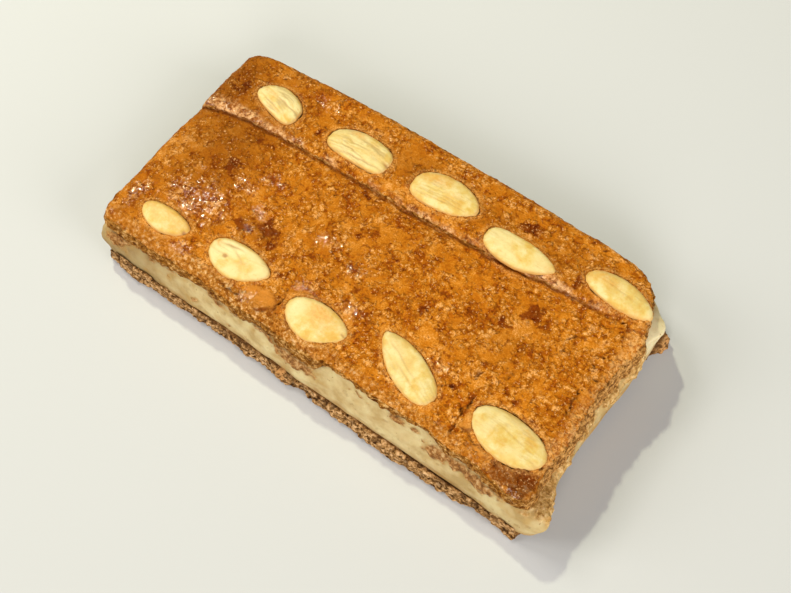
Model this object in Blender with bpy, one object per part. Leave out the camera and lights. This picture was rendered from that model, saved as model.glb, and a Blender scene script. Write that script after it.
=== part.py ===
# Filled speculaas slab: a crumbly bottom crust, a thick layer of almond paste, and a
# glazed, spiced top crust with a fold along its back strip. Ten blanched almond halves
# are pressed into the top in two rows.
# X runs along the slab, -Y faces the long side where the paste shows most, and Z is up.
# Sizes are in millimetres and places are measured from the middle of the straight sides.
# Meshes are made in metres, about an origin on the table under the middle of the whole
# slab, with its squeezed-out paste.

import math

import bmesh
import bpy
from mathutils import Vector, noise

MM = 0.001
WHOLE_MIDDLE = (2.5, 0.53)

# Heights above the table
BASE_TOP = 5.2
CRUST_UNDERSIDE = 19.5
CRUST_TOP = 25.0
GAP = 0.3

# Sides of each layer in plan at its widest: left, right, front, back.
# Corner radii run front left, front right, back right, back left.
BASE_SIDES = (-90.5, 89.6, -46.8, 46.6)
BASE_CORNERS = (3.0, 2.0, 10.0, 6.0)
PASTE_SIDES = (-90.4, 91.0, -44.9, 46.8)
PASTE_CORNERS = (4.0, 5.0, 12.0, 6.0)
CRUST_SIDES = (-92.6, 91.8, -42.3, 48.8)
CRUST_CORNERS = (6.5, 6.0, 18.0, 6.0)

# Waves of a side, as (place along the side, push outwards)
BASE_WAVES = {
    "front": [(-90, -0.6), (-73, 0.7), (-50, -0.2), (-13, -0.4), (-8, 0.9), (2, 0.0),
              (24, 0.9), (46, 1.5), (66, 0.7), (77, -0.6), (90, 0.3)],
    "back": [(-90, -1.2), (-60, 0.6), (-20, -0.3), (25, 0.9), (60, -0.4), (90, -1.0)],
    "left": [(-46, -0.3), (-10, 0.8), (20, -0.4), (46, 0.3)],
    "right": [(-47, 1.2), (-20, -0.5), (8, 0.2), (46, 0.6)],
}
PASTE_WAVES = {
    "front": [(-90, 0.2), (-60, 0.4), (-30, -0.3), (10, 0.5), (50, 0.3), (91, 0.0)],
    "back": [(-90, -0.8), (-40, 0.7), (10, -0.2), (55, 0.8), (91, -0.6)],
    "left": [(-45, 0.4), (0, -0.5), (47, 0.3)],
    "right": [(-45, 0.4), (-15, -0.3), (20, 0.2), (47, -0.4)],
}
CRUST_WAVES = {
    "front": [(-92, 0.0), (-68, 0.3), (-42, -0.3), (-25, 0.4), (-14, -0.2), (-2, 0.7),
              (6, 0.5), (13, -1.6), (34, -1.1), (53, -1.9), (62, -0.5), (68, -1.2),
              (82, 0.7), (92, 0.7)],
    "back": [(-92, -3.0), (-80, -1.5), (-50, 0.2), (-25, 0.8), (17, 1.0), (58, 0.0),
             (75, -1.0), (92, -2.0)],
    "left": [(-42, -0.8), (-28, -0.4), (0, 0.6), (14, 0.3), (37, 0.8), (49, 0.0)],
    "right": [(-42, 0.8), (-28, -1.2), (-18, -0.2), (0, -2.2), (11, -1.6), (22, 0.4),
              (30, -2.4), (38, -4.6), (49, -5.0)],
}

# How quickly the waves fade towards the middle, at the ends and at the long sides
END_WAVE_POWER = 5
SIDE_WAVE_POWER = 3
SMALLEST_CORNER = 0.5
CORNER_SIGNS = ((-1, -1), (1, -1), (1, 1), (-1, 1))
# About half the length and half the width: a layer's side faces outwards in these shares
HALF_SLAB = (95.0, 50.0)

# Unevenness as (amount, size of its lumps, seed)
RIM_RAGGED = (1.0, 9.0, 3)
FACE_BROAD = (0.30, 14.0, 11)
FACE_FINE = (0.12, 5.0, 17)
FACE_FINE_AT_RIGHT = (0.28, 5.0, 17)
COARSE_FROM = (40.0, 80.0)
PASTE_ROUGH = (0.5, 8.0, 29)
BASE_GRAIN = 5.0
BASE_SEED = 41
NOISE_GAIN = 1.6
UPRIGHT_SQUEEZE = 1.5

# Height of the top crust's ragged lower edge along the front and along the other sides
FRONT_RIM = [(-90, 17.8), (-76, 16.8), (-60, 17.4), (-42, 19.4), (-25, 18.4), (-15, 19.8),
             (-2, 16.8), (6, 16.6), (12, 22.0), (25, 22.4), (34, 21.2), (53, 22.4),
             (61, 19.6), (69, 20.2), (80, 16.8), (90, 16.2)]
OTHER_RIM = 19.3
FRONT_RIM_ENDS = (-40.0, -30.0)
# The right end hangs lower, between its two broken corners: (place along Y, height)
RIGHT_RIM = [(-40, 16.2), (-28, 14.0), (0, 13.4), (18, 14.2), (27, 19.3)]
RIGHT_RIM_STARTS = (84.0, 89.0)
INTERFACE_INSET = 0.7
HIDDEN_INSET = 8.0

# The fold in plan, which fades out before the right end
CREASE = [(-92, 14.4), (-84, 16.3), (-72, 18.3), (-40, 19.7), (16, 20.6), (50, 23.4), (76, 25.4)]
CREASE_FADES = (66.0, 80.0)
FOLD_LIFT = 1.0
FOLD_RISES = (0.0, 2.2)
FOLD_FALLS = (4.0, 16.0)
FOLD_FALL_SHARE = 0.6
FOLD_DIP = 1.1
DIP_BEFORE = 4.5
DIP_BEHIND = 0.8

# The crown of the whole face, the droop at each end, and the rolled edge
CROWN = 0.7
CROWN_HALF = (95.0, 60.0)
RIGHT_DROOP = 1.3
RIGHT_DROOPS = (84.0, 93.0)
LEFT_DROOP = 0.9
LEFT_DROOPS = (-80.0, -93.0)
EDGE_ROLL = 5.0
ROLL_ENDS_AT = 0.42
RIGHT_EDGE_ROLL = 2.6
RIGHT_ROLL_ENDS_AT = 0.76
RIGHT_ROLL_STARTS = (82.0, 88.0)

# Rings up the paste's side: share of its height, and how far it swells outwards
PASTE_RINGS = [(0.07, -0.2), (0.26, 0.5), (0.5, 0.8), (0.74, 0.7), (0.93, 0.3)]
PASTE_FOOT_INSET = 1.4

# Rings up the base's side: height, how far it is drawn in, and its unevenness
BASE_RINGS = [(0.0, 1.0, 0.3), (1.1, 0.0, 0.7), (3.2, 0.4, 0.8), (BASE_TOP, 1.3, 0.4)]

# Paste and base squeezed or broken out past the outline: place, push in plan, reach
PASTE_LUMPS = [
    {"at": (92.0, -40.0, 11.5), "push": (7.0, -0.8), "reach": 9.5},
    {"at": (-90.0, -43.0, 13.0), "push": (-3.0, -1.0), "reach": 5.0},
    {"at": (87.0, 35.0, 18.0), "push": (4.8, 1.4), "reach": 6.0},
]
BASE_LUMPS = [
    {"at": (89.0, 38.0, 3.0), "push": (4.0, 0.8), "reach": 5.0},
]

# Open cracks in the glazed face: points in plan, and how deep they go
CRACKS = [
    {"path": [(-15.4, -27.0), (-13.6, -30.5), (-14.4, -34.0), (-12.8, -38.5)], "depth": 0.9},
    {"path": [(57.0, -19.5), (58.6, -24.0), (57.8, -28.5), (58.6, -33.5)], "depth": 0.8},
    {"path": [(46.5, -23.4), (48.6, -24.6), (51.2, -23.2)], "depth": 0.9},
    {"path": [(84.6, 14.2), (82.0, 7.4), (85.6, 3.8), (83.6, -2.6), (85.0, -9.6)], "depth": 0.8},
    {"path": [(79.0, 24.2), (81.4, 26.6), (85.2, 25.6), (87.6, 22.6)], "depth": 0.9},
    {"path": [(60.4, 44.6), (64.5, 45.6), (68.4, 44.0)], "depth": 0.7},
]
CRACK_MOUTH = 3.0
CRACK_RISE = 2.0

# Almond halves: middle, length, width, turn in degrees, how blunt the left and the
# right end are, and how far the middle bows sideways
ALMONDS = [
    {"at": (-67.3, 29.4), "length": 21.5, "width": 12.0, "turn": -14, "blunt": (2.0, 2.7), "bow": 1.7},
    {"at": (-30.0, 29.9), "length": 26.3, "width": 13.3, "turn": 0, "blunt": (2.4, 3.2), "bow": 1.3},
    {"at": (6.6, 31.9), "length": 26.6, "width": 14.5, "turn": 4, "blunt": (2.8, 1.8), "bow": 0.8},
    {"at": (40.2, 28.3), "length": 28.1, "width": 11.4, "turn": 0, "blunt": (2.8, 1.6), "bow": -1.1},
    {"at": (75.6, 33.3), "length": 26.4, "width": 11.0, "turn": -4, "blunt": (2.1, 1.8), "bow": 0.8},
    {"at": (-68.2, -29.7), "length": 21.6, "width": 10.0, "turn": 0, "blunt": (2.0, 1.8), "bow": -1.0},
    {"at": (-35.7, -27.6), "length": 25.6, "width": 13.4, "turn": 3, "blunt": (2.1, 1.6), "bow": -1.5},
    {"at": (0.3, -30.4), "length": 24.7, "width": 14.3, "turn": 2, "blunt": (2.0, 1.7), "bow": -1.2},
    {"at": (34.9, -26.7), "length": 29.8, "width": 12.5, "turn": -24, "blunt": (1.6, 2.5), "bow": -0.3},
    {"at": (74.7, -27.2), "length": 28.0, "width": 15.3, "turn": -5, "blunt": (2.0, 2.1), "bow": -0.9},
]
ALMOND_RISE = 2.0
ALMOND_SUNK = 1.7
ALMOND_POINTS = 20
BED_REACH = 0.3

# Rings of an almond half, as (share of its outline, share of its rise) above the rim
ALMOND_DOME = [(0.50, 0.96), (0.80, 0.80), (0.94, 0.54), (1.0, 0.12)]
ALMOND_FOOT = [(0.97, 0.45), (0.86, 1.0)]

# Spacing of the mesh over the top crust
EDGE_STEPS = (0.9, 2.4, 4.8)
GRID_STEP = 3.8
CREASE_ROWS = (18.0, 19.3, 20.0, 20.9, 22.4, 24.6)
CREASE_ROW_ROOM = 1.5
CREASE_MIDDLE = 20.0
CREASE_DRAW = 14.0
SHARP_ANGLE = 50.0

# Colours as red, green and blue in linear light
COLOURS = {
    "bottom_crust": ((0.33, 0.17, 0.075), 0.9),
    "almond_paste": ((0.66, 0.50, 0.27), 0.75),
    "glazed_crust": ((0.47, 0.165, 0.022), 0.4),
    "blanched_almond": ((0.86, 0.66, 0.30), 0.5),
}


# Plain helpers

def smooth_between(points, at):
    """Value at one place of a curve that runs level through each (place, value) point."""
    if at <= points[0][0]:
        return points[0][1]
    for (low, first), (high, second) in zip(points, points[1:]):
        if at <= high:
            share = (at - low) / (high - low)
            return first + (second - first) * share * share * (3 - 2 * share)
    return points[-1][1]


def fade(low, high, at):
    """0 up to low, 1 from high on, and smooth between."""
    share = min(max((at - low) / (high - low), 0.0), 1.0)
    return share * share * (3 - 2 * share)


def ragged(x, y, z, unevenness):
    """Seeded unevenness at a place, up or down by about its amount."""
    amount, size, seed = unevenness
    return amount * NOISE_GAIN * noise.noise(Vector((x / size + seed, y / size, z / size)))


def outward(x, y):
    """Direction in plan that a layer's side faces at a place."""
    return Vector((x / HALF_SLAB[0], y / HALF_SLAB[1])).normalized()


def spaced(low, high):
    """Places from low to high, close together near both ends."""
    inner_low = low + EDGE_STEPS[-1]
    inner_high = high - EDGE_STEPS[-1]
    count = round((inner_high - inner_low) / GRID_STEP)
    inner = [inner_low + (inner_high - inner_low) * i / count for i in range(1, count)]
    start = [low] + [low + step for step in EDGE_STEPS]
    end = [high - step for step in reversed(EDGE_STEPS)] + [high]
    return start + inner + end


# Plan of a layer

class Plan:
    """A rounded outline with a wave along each side, and the places inside it."""

    def __init__(self, sides, corners, waves):
        self.left, self.right, self.front, self.back = sides
        self.corners = corners
        self.waves = waves

    def rounded(self, x, y):
        """A place in the square-cornered outline, drawn into the rounded one."""
        for radius, (sx, sy) in zip(self.corners, CORNER_SIGNS):
            side_x = self.left if sx < 0 else self.right
            side_y = self.front if sy < 0 else self.back
            turn_x = side_x - sx * radius
            turn_y = side_y - sy * radius
            across = (x - turn_x) * sx / radius
            along = (y - turn_y) * sy / radius
            if across > 0 and along > 0:
                across = min(across, 1.0)
                along = min(along, 1.0)
                drawn_x = across * math.sqrt(1 - along * along / 2)
                drawn_y = along * math.sqrt(1 - across * across / 2)
                return turn_x + sx * radius * drawn_x, turn_y + sy * radius * drawn_y
        return x, y

    def waved(self, x, y):
        """A place moved by the waves, all of them near a side and none in the middle."""
        middle_x = (self.left + self.right) / 2
        middle_y = (self.front + self.back) / 2
        share_x = (x - middle_x) / (self.right - middle_x)
        share_y = (y - middle_y) / (self.back - middle_y)
        side_x = "left" if share_x < 0 else "right"
        side_y = "front" if share_y < 0 else "back"
        push_x = smooth_between(self.waves[side_x], y) * share_x * abs(share_x) ** END_WAVE_POWER
        push_y = smooth_between(self.waves[side_y], x) * share_y * abs(share_y) ** SIDE_WAVE_POWER
        return x + push_x, y + push_y

    def inset(self, x, y):
        """How far a place lies inside the rounded outline, before its waves."""
        nearest = min(x - self.left, self.right - x, y - self.front, self.back - y)
        for radius, (sx, sy) in zip(self.corners, CORNER_SIGNS):
            turn_x = (self.left if sx < 0 else self.right) - sx * radius
            turn_y = (self.front if sy < 0 else self.back) - sy * radius
            across = (x - turn_x) * sx
            along = (y - turn_y) * sy
            if across > 0 and along > 0:
                nearest = min(nearest, radius - math.hypot(across, along))
        return max(nearest, 0.0)

    def at(self, share_x, share_y, inset=0.0):
        """Place in plan of a share across and a share along, in the outline drawn in by inset."""
        x = self.left + inset + (self.right - self.left - 2 * inset) * share_x
        y = self.front + inset + (self.back - self.front - 2 * inset) * share_y
        smaller = Plan(
            (self.left + inset, self.right - inset, self.front + inset, self.back - inset),
            [max(radius - inset, SMALLEST_CORNER) for radius in self.corners],
            self.waves,
        )
        return smaller.waved(*smaller.rounded(x, y))


BASE_PLAN = Plan(BASE_SIDES, BASE_CORNERS, BASE_WAVES)
PASTE_PLAN = Plan(PASTE_SIDES, PASTE_CORNERS, PASTE_WAVES)
CRUST_PLAN = Plan(CRUST_SIDES, CRUST_CORNERS, CRUST_WAVES)

COLUMNS = spaced(CRUST_PLAN.left, CRUST_PLAN.right)
ROWS = [y for y in spaced(CRUST_PLAN.front, CRUST_PLAN.back)
        if not CREASE_ROWS[0] - CREASE_ROW_ROOM < y < CREASE_ROWS[-1] + CREASE_ROW_ROOM]
ROWS = sorted(ROWS + list(CREASE_ROWS))
SHARES_X = [(x - CRUST_PLAN.left) / (CRUST_PLAN.right - CRUST_PLAN.left) for x in COLUMNS]
SHARES_Y = [(y - CRUST_PLAN.front) / (CRUST_PLAN.back - CRUST_PLAN.front) for y in ROWS]


def rim_indices():
    """Grid places round the edge, counter-clockwise seen from above."""
    last_x = len(COLUMNS) - 1
    last_y = len(ROWS) - 1
    front = [(i, 0) for i in range(last_x)]
    right = [(last_x, j) for j in range(last_y)]
    back = [(i, last_y) for i in range(last_x, 0, -1)]
    left = [(0, j) for j in range(last_y, 0, -1)]
    return front + right + back + left


RIM = rim_indices()


def drawn_to_crease(share_x, share_y):
    """Share along that makes the rows near the fold follow it."""
    x = CRUST_PLAN.left + (CRUST_PLAN.right - CRUST_PLAN.left) * share_x
    y = CRUST_PLAN.front + (CRUST_PLAN.back - CRUST_PLAN.front) * share_y
    pull = math.exp(-((y - CREASE_MIDDLE) / CREASE_DRAW) ** 4)
    y += (smooth_between(CREASE, x) - CREASE_MIDDLE) * pull
    return (y - CRUST_PLAN.front) / (CRUST_PLAN.back - CRUST_PLAN.front)


# Heights of the top crust

def rim_height(x, y):
    """Height of the top crust's ragged lower edge."""
    front = smooth_between(FRONT_RIM, x)
    other = OTHER_RIM + (smooth_between(RIGHT_RIM, y) - OTHER_RIM) * fade(*RIGHT_RIM_STARTS, x)
    other += ragged(x, y, 0, RIM_RAGGED)
    return front + (other - front) * fade(*FRONT_RIM_ENDS, y)


def glazed_height(x, y):
    """Height of the top crust's face, leaving out its rolled edges."""
    crown_x, crown_y = CROWN_HALF
    height = CRUST_TOP + CROWN * (1 - (x / crown_x) ** 2) * (1 - (y / crown_y) ** 2)
    behind = y - smooth_between(CREASE, x)
    strength = 1 - fade(*CREASE_FADES, x)
    dip_width = DIP_BEFORE if behind < 0 else DIP_BEHIND
    height -= strength * FOLD_DIP * math.exp(-(behind / dip_width) ** 2)
    fold = fade(*FOLD_RISES, behind) - FOLD_FALL_SHARE * fade(*FOLD_FALLS, behind)
    height += strength * FOLD_LIFT * fold
    height -= RIGHT_DROOP * fade(*RIGHT_DROOPS, x) + LEFT_DROOP * fade(*LEFT_DROOPS, x)
    height += ragged(x, y, 0, FACE_BROAD) + ragged(x, y, 0, FACE_FINE)
    height += fade(*COARSE_FROM, x) * ragged(x, y, 0, FACE_FINE_AT_RIGHT)
    return height


def crust_height(x, y, inset):
    """Height of the top crust's face, rolled down towards its edge."""
    face = glazed_height(x, y)
    rim = rim_height(x, y)
    at_right = fade(*RIGHT_ROLL_STARTS, x)
    edge = rim + (ROLL_ENDS_AT + (RIGHT_ROLL_ENDS_AT - ROLL_ENDS_AT) * at_right) * (face - rim)
    roll = EDGE_ROLL + (RIGHT_EDGE_ROLL - EDGE_ROLL) * at_right
    share = max(1 - inset / roll, 0.0)
    return face - (face - edge) * (1 - math.sqrt(1 - share * share))


# Meshes

def add_material(obj, name):
    colour, roughness = COLOURS[name]
    material = bpy.data.materials.get(name)
    if material is None:
        material = bpy.data.materials.new(name)
        material.use_nodes = True
        shader = material.node_tree.nodes["Principled BSDF"]
        shader.inputs["Base Color"].default_value = (*colour, 1.0)
        shader.inputs["Roughness"].default_value = roughness
        shader.inputs["Metallic"].default_value = 0.0
        material.diffuse_color = (*colour, 1.0)
    obj.data.materials.append(material)


def finished(bm, name, material):
    """The object made from a closed bmesh, smooth apart from its sharp edges."""
    bmesh.ops.recalc_face_normals(bm, faces=bm.faces[:])
    mesh = bpy.data.meshes.new(name)
    bm.to_mesh(mesh)
    bm.free()
    mesh.shade_smooth()
    mesh.set_sharp_from_angle(angle=math.radians(SHARP_ANGLE))
    obj = bpy.data.objects.new(name, mesh)
    bpy.context.scene.collection.objects.link(obj)
    if material:
        add_material(obj, material)
    return obj


def add_ring(bm, points):
    return [bm.verts.new(((x - WHOLE_MIDDLE[0]) * MM, (y - WHOLE_MIDDLE[1]) * MM, z * MM))
            for x, y, z in points]


def join_rings(bm, first, second):
    count = len(first)
    for i in range(count):
        following = (i + 1) % count
        bm.faces.new((first[i], first[following], second[following], second[i]))


def join_interface(bm, outer, hidden):
    """The ragged border of the interface, split the same way in both layers that meet there."""
    count = len(outer)
    for i in range(count):
        following = (i + 1) % count
        bm.faces.new((outer[i], outer[following], hidden[following]))
        bm.faces.new((outer[i], hidden[following], hidden[i]))


def pushed(x, y, z, lumps):
    """A point on a layer's side, moved out by the lumps near it."""
    for lump in lumps:
        distance = (Vector((x, y, z)) - Vector(lump["at"])).length
        weight = math.exp(-(distance / lump["reach"]) ** 2)
        x += lump["push"][0] * weight
        y += lump["push"][1] * weight
    return x, y, z


def shares_of(i, j):
    return SHARES_X[i], drawn_to_crease(SHARES_X[i], SHARES_Y[j])


def roughened(x, y, z, swell, unevenness):
    """A point on a layer's side, moved outwards by its swell and its unevenness."""
    facing = outward(x, y)
    x += facing.x * swell
    y += facing.y * swell
    facing = outward(x, y)
    push = ragged(x, y, z * UPRIGHT_SQUEEZE, unevenness)
    return x + facing.x * push, y + facing.y * push, z


def interface_ring(inset, lift):
    """Where the top crust meets the paste, flat inside and ragged at the edge."""
    points = []
    for i, j in RIM:
        x, y = CRUST_PLAN.at(*shares_of(i, j), inset=INTERFACE_INSET + inset)
        height = CRUST_UNDERSIDE if inset else rim_height(x, y)
        points.append((x, y, height + lift))
    return points


def make_top_crust():
    bm = bmesh.new()
    grid = {}
    for i, share_x in enumerate(SHARES_X):
        for j, share_y in enumerate(SHARES_Y):
            along = drawn_to_crease(share_x, share_y)
            flat_x = CRUST_PLAN.left + (CRUST_PLAN.right - CRUST_PLAN.left) * share_x
            flat_y = CRUST_PLAN.front + (CRUST_PLAN.back - CRUST_PLAN.front) * along
            inset = CRUST_PLAN.inset(*CRUST_PLAN.rounded(flat_x, flat_y))
            x, y = CRUST_PLAN.at(share_x, along)
            grid[i, j] = add_ring(bm, [(x, y, crust_height(x, y, inset))])[0]
    for i in range(len(COLUMNS) - 1):
        for j in range(len(ROWS) - 1):
            bm.faces.new((grid[i, j], grid[i + 1, j], grid[i + 1, j + 1], grid[i, j + 1]))
    edge = [grid[place] for place in RIM]
    lower = add_ring(bm, interface_ring(0.0, 0.0))
    hidden = add_ring(bm, interface_ring(HIDDEN_INSET, 0.0))
    join_rings(bm, lower, edge)
    join_interface(bm, lower, hidden)
    bm.faces.new(hidden)
    return finished(bm, "top_crust", "glazed_crust")


def make_paste():
    """The paste follows the crust's ragged edge at its top and leans out to its foot."""
    foot_z = BASE_TOP + GAP
    top = interface_ring(0.0, -GAP)
    foot = [(*PASTE_PLAN.at(*shares_of(i, j)), foot_z) for i, j in RIM]
    bm = bmesh.new()
    hidden_foot = add_ring(bm, [
        (*PASTE_PLAN.at(*shares_of(i, j), inset=PASTE_FOOT_INSET), foot_z) for i, j in RIM])
    rings = [hidden_foot]
    for share, swell in PASTE_RINGS:
        points = []
        for low, high in zip(foot, top):
            x, y, z = Vector(low).lerp(Vector(high), share)
            points.append(pushed(*roughened(x, y, z, swell, PASTE_ROUGH), PASTE_LUMPS))
        rings.append(add_ring(bm, points))
    rings.append(add_ring(bm, top))
    for first, second in zip(rings, rings[1:]):
        join_rings(bm, first, second)
    hidden_top = add_ring(bm, interface_ring(HIDDEN_INSET, -GAP))
    join_interface(bm, rings[-1], hidden_top)
    bm.faces.new(list(reversed(hidden_foot)))
    bm.faces.new(hidden_top)
    return finished(bm, "almond_paste", "almond_paste")


def make_base():
    """The bottom crust, with a crumbly side and a flat face to rest on."""
    bm = bmesh.new()
    rings = []
    for z, inset, rough in BASE_RINGS:
        points = []
        for i, j in RIM:
            x, y = BASE_PLAN.at(*shares_of(i, j), inset=inset)
            side = roughened(x, y, z, 0.0, (rough, BASE_GRAIN, BASE_SEED))
            points.append(pushed(*side, BASE_LUMPS))
        rings.append(add_ring(bm, points))
    for first, second in zip(rings, rings[1:]):
        join_rings(bm, first, second)
    bm.faces.new(list(reversed(rings[0])))
    bm.faces.new(rings[-1])
    return finished(bm, "bottom_crust", "bottom_crust")


# Almonds

def almond_outline(almond, share, grow):
    """Points round an almond half, drawn in to a share of its outline."""
    points = []
    turn = math.radians(almond["turn"])
    half_length = almond["length"] / 2 + grow
    half_width = almond["width"] / 2 + grow
    for k in range(ALMOND_POINTS):
        angle = 2 * math.pi * (k + 0.5) / ALMOND_POINTS
        cos, sin = math.cos(angle), math.sin(angle)
        power = 2 / almond["blunt"][0 if cos < 0 else 1]
        along = half_length * math.copysign(abs(cos) ** power, cos)
        side = half_width * math.copysign(abs(sin) ** power, sin)
        side += almond["bow"] * (1 - (along / half_length) ** 2)
        along *= share
        side *= share
        x = almond["at"][0] + along * math.cos(turn) - side * math.sin(turn)
        y = almond["at"][1] + along * math.sin(turn) + side * math.cos(turn)
        points.append((x, y))
    return points


def almond_bed(almond):
    """Height and slopes of the crust under an almond half, as it lies."""
    x, y = almond["at"]
    reach_x = BED_REACH * almond["length"]
    reach_y = BED_REACH * almond["width"]

    def height(at_x, at_y):
        return crust_height(at_x, at_y, CRUST_PLAN.inset(at_x, at_y))

    slope_x = (height(x + reach_x, y) - height(x - reach_x, y)) / (2 * reach_x)
    slope_y = (height(x, y + reach_y) - height(x, y - reach_y)) / (2 * reach_y)
    return height(x, y), slope_x, slope_y


def almond_solid(almond, name, material, grow=0.0):
    bed, slope_x, slope_y = almond_bed(almond)
    rise = ALMOND_RISE + grow
    sunk = ALMOND_SUNK + grow
    middle_x, middle_y = almond["at"]

    def lifted(points, offset):
        return [(x, y, bed + slope_x * (x - middle_x) + slope_y * (y - middle_y) + offset)
                for x, y in points]

    bm = bmesh.new()
    rings = [add_ring(bm, lifted(almond_outline(almond, share, grow), -sunk * depth))
             for share, depth in reversed(ALMOND_FOOT)]
    rings += [add_ring(bm, lifted(almond_outline(almond, share, grow), rise * height))
              for share, height in reversed(ALMOND_DOME)]
    for first, second in zip(rings, rings[1:]):
        join_rings(bm, first, second)
    bm.faces.new(list(reversed(rings[0])))
    crown = add_ring(bm, lifted([almond["at"]], rise))[0]
    for k in range(ALMOND_POINTS):
        bm.faces.new((rings[-1][k], rings[-1][(k + 1) % ALMOND_POINTS], crown))
    return finished(bm, name, material)


# Cuts in the top crust

def as_cutter(obj):
    obj.hide_render = True
    obj.display_type = "WIRE"
    return obj


def crack_solid(crack, name):
    """A wedge along a crack, open upwards, that rises to nothing at both ends."""
    bm = bmesh.new()
    path = crack["path"]
    first = (*path[0], glazed_height(*path[0]) + CRACK_RISE)
    last = (*path[-1], glazed_height(*path[-1]) + CRACK_RISE)
    sections = []
    for (x0, y0), (x, y), (x1, y1) in zip(path, path[1:], path[2:]):
        across = Vector((y1 - y0, x0 - x1)).normalized() * (CRACK_MOUTH / 2)
        top = glazed_height(x, y) + CRACK_RISE
        tip = top - CRACK_RISE - crack["depth"]
        sections.append(add_ring(bm, [(x + across.x, y + across.y, top),
                                      (x - across.x, y - across.y, top), (x, y, tip)]))
    for before, after in zip(sections, sections[1:]):
        join_rings(bm, before, after)
    for section, end in ((sections[0], first), (sections[-1], last)):
        point = add_ring(bm, [end])[0]
        for k in range(3):
            bm.faces.new((section[k], section[(k + 1) % 3], point))
    return finished(bm, name, None)


def cut(obj, cutter):
    modifier = obj.modifiers.new(cutter.name, "BOOLEAN")
    modifier.operation = "DIFFERENCE"
    modifier.solver = "EXACT"
    modifier.object = cutter


def main():
    for obj in list(bpy.data.objects):
        bpy.data.objects.remove(obj)
    make_base()
    make_paste()
    top_crust = make_top_crust()
    for number, almond in enumerate(ALMONDS, start=1):
        almond_solid(almond, f"almond_{number:02d}", "blanched_almond")
        socket = almond_solid(almond, f"socket_{number:02d}", None, grow=GAP)
        cut(top_crust, as_cutter(socket))
    for number, crack in enumerate(CRACKS, start=1):
        cut(top_crust, as_cutter(crack_solid(crack, f"crack_{number:02d}")))


main()
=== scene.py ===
import math

import bpy
import numpy as np
from mathutils import Matrix, Vector, noise


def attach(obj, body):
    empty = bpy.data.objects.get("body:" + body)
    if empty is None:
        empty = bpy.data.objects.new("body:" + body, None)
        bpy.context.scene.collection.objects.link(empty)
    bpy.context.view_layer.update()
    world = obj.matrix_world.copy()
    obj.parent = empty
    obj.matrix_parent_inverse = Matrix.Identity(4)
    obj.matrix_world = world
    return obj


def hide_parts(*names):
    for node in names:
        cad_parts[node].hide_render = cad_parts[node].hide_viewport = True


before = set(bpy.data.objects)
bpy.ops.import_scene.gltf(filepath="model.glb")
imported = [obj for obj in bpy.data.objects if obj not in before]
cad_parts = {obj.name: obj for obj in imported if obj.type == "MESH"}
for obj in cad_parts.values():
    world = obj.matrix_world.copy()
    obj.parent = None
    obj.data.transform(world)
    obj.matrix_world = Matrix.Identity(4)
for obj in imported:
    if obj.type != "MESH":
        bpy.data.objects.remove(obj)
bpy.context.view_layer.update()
print("frame loaded")

# Every place below is in millimetres from the middle of the slab's straight sides;
# the frame's own origin lies this far from it.
slab = {"middle": (2.5, 0.53, 0.0)}
metre, millimetre = 1000, 0.001  # each in the other's unit


# Small tools for meshes

def setMode(mode):
    bpy.ops.object.mode_set(mode=mode)


def selectOnly(piece):
    if bpy.context.object and bpy.context.object.mode != "OBJECT":
        setMode("OBJECT")
    bpy.ops.object.select_all(action="DESELECT")
    piece.select_set(True)
    bpy.context.view_layer.objects.active = piece


def copyNode(nodeName, pieceName):
    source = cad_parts[nodeName]
    piece = bpy.data.objects.new(pieceName, source.data.copy())
    bpy.context.scene.collection.objects.link(piece)
    piece.data.materials.clear()
    selectOnly(piece)
    setMode("EDIT")
    bpy.ops.mesh.select_all(action="SELECT")
    bpy.ops.mesh.remove_doubles(threshold=0.01 * millimetre)
    setMode("OBJECT")
    return piece


def remeshFine(piece, voxelSize, smoothing):
    selectOnly(piece)
    piece.data.remesh_voxel_size = voxelSize * millimetre
    bpy.ops.object.voxel_remesh()
    setMode("EDIT")
    bpy.ops.mesh.select_all(action="SELECT")
    bpy.ops.mesh.vertices_smooth(factor=0.5, repeat=smoothing)
    setMode("OBJECT")
    bpy.ops.object.shade_smooth()


def readThrees(items, name):
    flat = np.empty(len(items) * 3, np.float32)
    items.foreach_get(name, flat)
    return flat.reshape(-1, 3)


def readPoints(piece):
    return readThrees(piece.data.vertices, "co").astype(float) * metre + slab["middle"]


def readNormals(piece):
    return readThrees(piece.data.vertex_normals, "vector").astype(float)


def writePoints(piece, points):
    flat = ((points - slab["middle"]) * millimetre).astype(np.float32).ravel()
    piece.data.vertices.foreach_set("co", flat)
    piece.data.update()


def storeMasks(piece, **masks):
    # shares from 0 to 1 at the piece's points, for its material to read
    for name, values in masks.items():
        attribute = piece.data.attributes.new(name, "FLOAT", "POINT")
        attribute.data.foreach_set("value", np.clip(values, 0, 1).astype(np.float32))


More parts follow.
